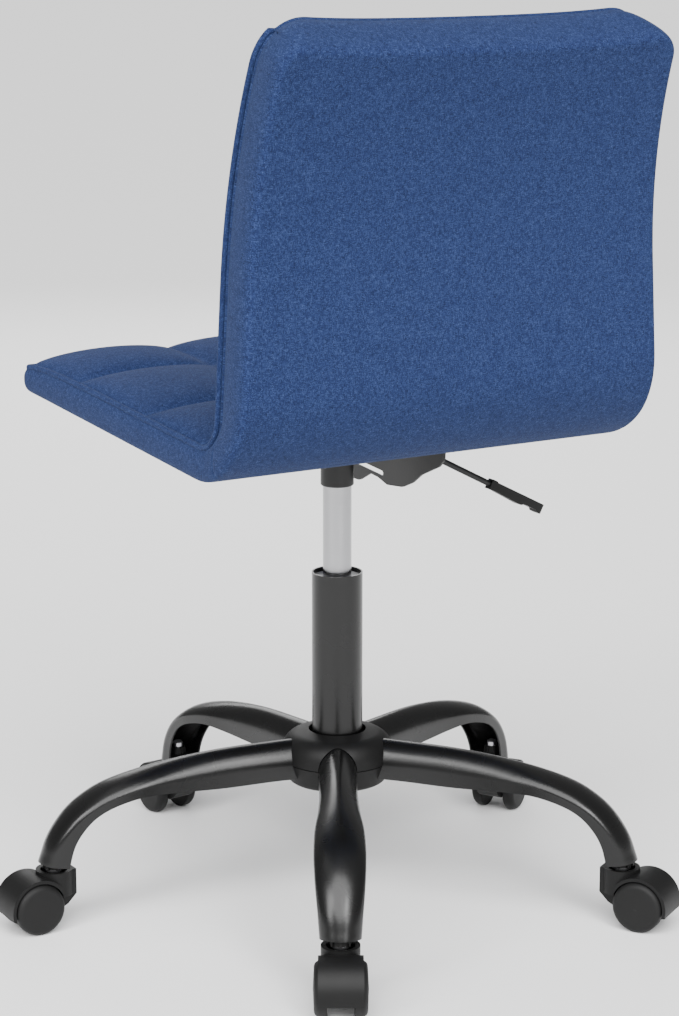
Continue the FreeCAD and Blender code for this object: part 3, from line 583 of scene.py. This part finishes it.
def make_piece(name, points, quads, uv, material):
    """A mesh object from points, four-sided faces and one (u, v) per point."""
    mesh = bpy.data.meshes.new(name)
    mesh.from_pydata(points.reshape(-1, 3), [], quads.tolist())
    layer = mesh.uv_layers.new(name="weave")
    layer.data.foreach_set("uv", uv.reshape(-1, 2)[quads.ravel()].astype(np.float32).ravel())
    mesh.polygons.foreach_set("use_smooth", np.ones(len(quads), bool))
    mesh.materials.append(material)
    mesh.update()
    made = bpy.data.objects.new(name, mesh)
    bpy.context.scene.collection.objects.link(made)
    return made


def make_sheet(name, points, material, flip=False):
    quads = grid_quads(*points.shape[:2])
    if flip:
        quads = quads[:, ::-1]
    uv = np.stack([ways(points, 1), ways(points, 0)], axis=-1)
    return make_piece(name, points, quads, uv, material)


def modifier(piece, kind, **settings):
    made = piece.modifiers.new(kind.lower(), kind)
    for key, value in settings.items():
        setattr(made, key, value)
    return made


# %% [markdown]
# ## Boxing and rear panel
# The cover's outside is a band round the seat, the boxing, and a panel over the rear of
# the back. In section both leave the welt, swell out, and roll under: a quarter of a
# superellipse. On the back the roll is rounder, so the rear panel has no edge at its sides.

# %% Outside of the cover
RIM_STEPS = 14
FACE_COLUMNS = 72
ROW_SPACING = [0.005, 0.005, 0.0006, 0.005, 0.005]
TUCK = 0.003
CLOTH_THICK = 0.0016


def roll(v):
    """Width of the roll at v, and the power of its superellipse."""
    past = on_back(v)
    return 0.0095 + 0.0015 * past, 3.0 - 0.7 * past


def rim_levels(power):
    """Levels from the welt (1) to the outer line (0), for each step round the roll."""
    angle = np.linspace(0, pi / 2, RIM_STEPS)
    return 1 - np.sin(angle) ** (2 / power)


def rim_insets(width, power):
    """How far in from the outline each step is; the last of the wall tucks in at the welt."""
    angle = np.linspace(0, pi / 2, RIM_STEPS)
    inset = width[..., None] * (1 - np.cos(angle) ** (2 / power[..., None]))
    return inset + TUCK * (1 - np.sin(angle) ** (2 / power[..., None])) ** 8


def rows_between(knots, spacing):
    parts = [np.linspace(lo, hi, max(3, int(round((hi - lo) / gap)) + 1))[:-1]
             for lo, hi, gap in zip(knots[:-1], knots[1:], spacing)]
    return np.concatenate(parts + [[knots[-1]]])


def outside_grid():
    """Grid of the whole outside: rim rows at the front and top, rim columns at the sides."""
    ends = np.array([0.0, TOTAL])
    width, power = roll(ends)
    inset = rim_insets(width, power)
    knots = np.concatenate([[inset[0, -1]], inner_knots[1:5], [TOTAL - inset[1, -1]]])
    middle = rows_between(knots, ROW_SPACING)
    v = np.concatenate([inset[0, :-1], middle, (TOTAL - inset[1, :-1])[::-1]])
    level_row = np.concatenate([rim_levels(power[0])[:-1], np.zeros(len(middle)),
                                rim_levels(power[1])[:-1][::-1]])
    width, power = roll(v)
    side = rim_insets(width, power)
    inner = np.linspace(-1, 1, FACE_COLUMNS)[None, :] * (HALF_WIDTH - width)[:, None]
    wall = HALF_WIDTH - side[:, :-1]
    a = np.concatenate([-wall, inner, wall[:, ::-1]], axis=1)
    side_level = rim_levels(power[:, None])[:, :-1]
    face_level = np.zeros((len(v), FACE_COLUMNS))
    level_column = np.concatenate([side_level, face_level, side_level[:, ::-1]], axis=1)
    level = np.maximum(level_column, level_row[:, None])
    v = np.broadcast_to(v[:, None], a.shape)
    return a, v, level


a, v, level = outside_grid()
seam_row = int(np.argmin(np.abs(v[:, 0] - SEAM_V)))
outside = to_space(a, v, level)
print("outside grid", outside.shape[:2], "seam at row", seam_row)

# %% [markdown]
# The boxing and the rear panel are cut from this grid at the seam, and each gets the
# thickness of cloth on its foam backing. The boxing runs on for one row under the rear
# panel, as a seam allowance does, so the plywood never shows through the seam.

# %% Cut at the seam
ALLOWANCE_DEPTH = 0.0024


def inward(points):
    """Unit normals of a grid, pointing into the shell."""
    normal = np.cross(np.gradient(points, axis=1), np.gradient(points, axis=0))
    return normal / np.linalg.norm(normal, axis=-1)[..., None]


under = outside + inward(outside) * ALLOWANCE_DEPTH
boxing_rows = [outside[:seam_row + 1], under[seam_row + 1:seam_row + 2]]
boxing = make_sheet("boxing", np.concatenate(boxing_rows), linen)
rear_panel = make_sheet("rear_panel", outside[seam_row:], linen)
for cover in (boxing, rear_panel):
    modifier(cover, "SOLIDIFY", thickness=CLOTH_THICK, offset=-1)
    modifier(cover, "SUBSURF", levels=1, render_levels=1)
print("rows of the boxing", len(boxing.data.vertices) // outside.shape[1])

# %% [markdown]
# ## The tufted panel
# The inside is one long panel, sewn down in squares: three across, three along the seat
# and three up the back. Between the seams each square swells like a pillow. A pillow's
# height is the product of two arches, one across and one along.

# %% Pillows
WELT_INSET = 0.0032
ACROSS = 3
SEAT_ROWS = np.array([0.0, 0.124, 0.266])
CREASE_V = (inner_knots[1] + inner_knots[3]) / 2
BACK_ROWS = np.linspace(CREASE_V, TOTAL, 4)
ROW_SEAMS = np.concatenate([SEAT_ROWS, BACK_ROWS])
COLUMN_SEAMS = np.linspace(-HALF_WIDTH, HALF_WIDTH, ACROSS + 1)
CELLS = 22
PILLOW = 0.0135
PUFF_POWER = 0.45
CROWN = 0.005
WELT_STANDS_OUT = 0.0005
PAD_THICK = 0.008


def welt_inset(v):
    """How far the welt's middle lies inside the outline: on the back it stands out at the edge."""
    return WELT_INSET - (PINCH + WELT_STANDS_OUT) * on_back(v)


def arch(share, power):
    """1 in the middle of a cell and 0 at its seams; share runs from 0 to 1."""
    return np.clip(1 - (2 * share - 1) ** 2, 0, 1) ** power


def cell_lines(seams):
    """Every seam, with the lines that part the cells between them into CELLS strips."""
    cells = [np.linspace(lo, hi, CELLS + 1)[:-1] for lo, hi in zip(seams, seams[1:])]
    return np.concatenate(cells + [[seams[-1]]])


def panel_grid():
    """Columns and rows of the panel, the pillows' height and the crown's, from 0 to 1."""
    columns = cell_lines(COLUMN_SEAMS)
    rows = cell_lines(ROW_SEAMS)
    puff_column = arch(np.arange(len(columns)) % CELLS / CELLS, PUFF_POWER)
    puff_row = arch(np.arange(len(rows)) % CELLS / CELLS, PUFF_POWER)
    puff = puff_row[:, None] * puff_column[None, :]
    edge_a = 1 - (np.abs(columns) / HALF_WIDTH) ** 6
    nearest = np.minimum(rows, TOTAL - rows)
    edge_v = 1 - np.clip(1 - nearest / 0.09, 0, 1) ** 3
    crease = 1 - 1.1 * np.exp(-((rows - CREASE_V) / 0.045) ** 2)
    crown = (edge_v * crease)[:, None] * edge_a[None, :]
    return columns, rows, puff, crown


columns, rows, puff, crown = panel_grid()
v = np.broadcast_to((WELT_INSET + rows * (TOTAL - 2 * WELT_INSET) / TOTAL)[:, None], puff.shape)
a = columns[None, :] * (1 - welt_inset(v) / HALF_WIDTH)
lift = CROWN * crown + PILLOW * puff
top = to_space(a, v, 1.0, lift)
bottom = to_space(a, v, 1.0, np.full(lift.shape, -PAD_THICK))
print("panel grid", top.shape[:2])


# %% A closed pad from two grids
def close_pad(name, top, bottom, material):
    """Top and bottom grid with the same outline, joined round their edges."""
    rows, columns = top.shape[:2]
    count = rows * columns
    index = np.arange(count).reshape(rows, columns)
    upper = grid_quads(rows, columns)
    lower = upper[:, ::-1] + count
    loop = np.concatenate([index[0, :-1], index[:-1, -1], index[-1, :0:-1], index[:0:-1, 0]])
    following = np.roll(loop, -1)
    wall = np.stack([loop, loop + count, following + count, following], axis=-1)
    quads = np.concatenate([upper, lower, wall])
    uv = np.stack([ways(top, 1), ways(top, 0)], axis=-1).reshape(-1, 2)
    points = np.concatenate([top.reshape(-1, 3), bottom.reshape(-1, 3)])
    return make_piece(name, points, quads, np.concatenate([uv, uv]), material)


tufted = close_pad("tufted_panel", top, bottom, linen)


# %% [markdown]
# The pillows get their last fullness from air: the pad becomes cloth, sewn down along its
# seams, its edge and its whole underside, and is blown up for twenty frames. No point may
# move further than a cap, so no pillow grows past its share.

# %% Blow up the pillows
SWELL_CAP = 0.006
AIR_PRESSURE = 4.0


def blow_up(piece, held, pressure, cap, frames=20):
    """Runs Cloth with pressure on a piece; held is 1 where a point is sewn down."""
    group = piece.vertex_groups.new(name="sewn")
    for strength in np.unique(held):
        group.add(np.flatnonzero(held == strength).tolist(), float(strength), "REPLACE")
    modifier(piece, "CLOTH")
    settings = piece.modifiers["cloth"].settings
    settings.quality = 5
    settings.mass = 0.3
    settings.tension_stiffness = settings.compression_stiffness = settings.shear_stiffness = 6
    settings.bending_stiffness = 0.4
    settings.use_pressure = True
    settings.uniform_pressure_force = pressure
    settings.effector_weights.gravity = 0
    settings.vertex_group_mass = "sewn"
    scene = bpy.context.scene
    for frame_number in range(1, frames + 1):
        scene.frame_set(frame_number)
    swollen = piece.evaluated_get(bpy.context.evaluated_depsgraph_get()).data
    start = np.empty(len(piece.data.vertices) * 3)
    end = np.empty(len(start))
    piece.data.vertices.foreach_get("co", start)
    swollen.vertices.foreach_get("co", end)
    move = (end - start).reshape(-1, 3)
    length = np.linalg.norm(move, axis=1)
    move *= (cap * np.tanh(length / cap) / np.maximum(length, 1e-9))[:, None]
    piece.modifiers.remove(piece.modifiers["cloth"])
    piece.vertex_groups.remove(group)
    piece.data.vertices.foreach_set("co", start + move.ravel())
    piece.data.update()
    scene.frame_set(1)
    print("swelled by up to", round(float(length.max()) * 1000, 1), "mm before the cap")


sewn = np.concatenate([(puff <= 1e-6).astype(float).ravel(), np.ones(puff.size)])
blow_up(tufted, sewn, AIR_PRESSURE, SWELL_CAP)
modifier(tufted, "SUBSURF", levels=1, render_levels=1)

# %% [markdown]
# ## The welt
# A cord wrapped in the same cloth is sewn in where the tufted panel meets the boxing and
# the rear panel. It is a tube carried along the panel's outline.

# %% Welt
WELT_RADIUS = 0.003
WELT_LIFT = 0.0005
WELT_SIDES = 12
WELT_SPACING = 0.003
TUBE_CENTRE = (0, 0.02, 0.66)


def outline_loop(lift, steps=260):
    """Closed line along the welt's middle, lifted off the shell."""
    across = np.linspace(-1, 1, steps)
    along = np.linspace(WELT_INSET, TOTAL - WELT_INSET, 2 * steps)
    side = np.concatenate([across, np.ones(2 * steps), -across, -np.ones(2 * steps)])
    v = np.concatenate([np.full(steps, along[0]), along, np.full(steps, along[-1]), along[::-1]])
    loop = to_space(side * (HALF_WIDTH - welt_inset(v)), v, 1.0, lift)
    keep = np.linalg.norm(loop - np.roll(loop, 1, axis=0), axis=1) > 1e-5
    return loop[keep]


def evenly(loop, spacing):
    """The same closed line with points at even distances."""
    closed = np.concatenate([loop, loop[:1]])
    run = np.concatenate([[0], np.cumsum(np.linalg.norm(np.diff(closed, axis=0), axis=1))])
    s = np.linspace(0, run[-1], int(run[-1] / spacing) + 1)[:-1]
    return np.stack([np.interp(s, run, closed[:, i]) for i in range(3)], axis=-1), s


def tube(name, line, s, radius, sides, material):
    """Circles square to a closed line, each turned so that its first point faces +X or -X."""
    way = np.roll(line, -1, axis=0) - np.roll(line, 1, axis=0)
    way /= np.linalg.norm(way, axis=1)[:, None]
    guide = line - np.array(TUBE_CENTRE)
    side = np.cross(way, guide)
    side /= np.linalg.norm(side, axis=1)[:, None]
    up = np.cross(side, way)
    angle = np.linspace(0, 2 * pi, sides + 1)
    ring = np.cos(angle)[None, :, None] * side[:, None] + np.sin(angle)[None, :, None] * up[:, None]
    points = line[:, None] + radius * ring
    count = len(line)
    index = np.arange(count * sides).reshape(count, sides)
    across = np.roll(index, -1, axis=1)
    ahead = [np.roll(across, -1, axis=0), np.roll(index, -1, axis=0)]
    quads = np.stack([index, across] + ahead, axis=-1).reshape(-1, 4)
    u = np.broadcast_to(s[:, None], (count, sides))
    v = np.broadcast_to((radius * angle[:-1])[None, :], (count, sides))
    return make_piece(name, points[:, :-1], quads, np.stack([u, v], axis=-1), material)


welt_line, welt_s = evenly(outline_loop(WELT_LIFT), WELT_SPACING)
welt = tube("welt", welt_line, welt_s, WELT_RADIUS, WELT_SIDES, linen)
print("welt length", round(float(welt_s[-1]), 3))

# %% [markdown]
# ## Riding and replacing
# The cover is fixed to the plywood, so every piece of it rides on the seat unit. It stands
# for the three plain foam solids of the CAD model.

# %% Ride on the seat
for piece in (boxing, rear_panel, tufted, welt):
    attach(piece, "seat_unit")
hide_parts("seat_cushion", "back_cushion")
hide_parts("back_padding")
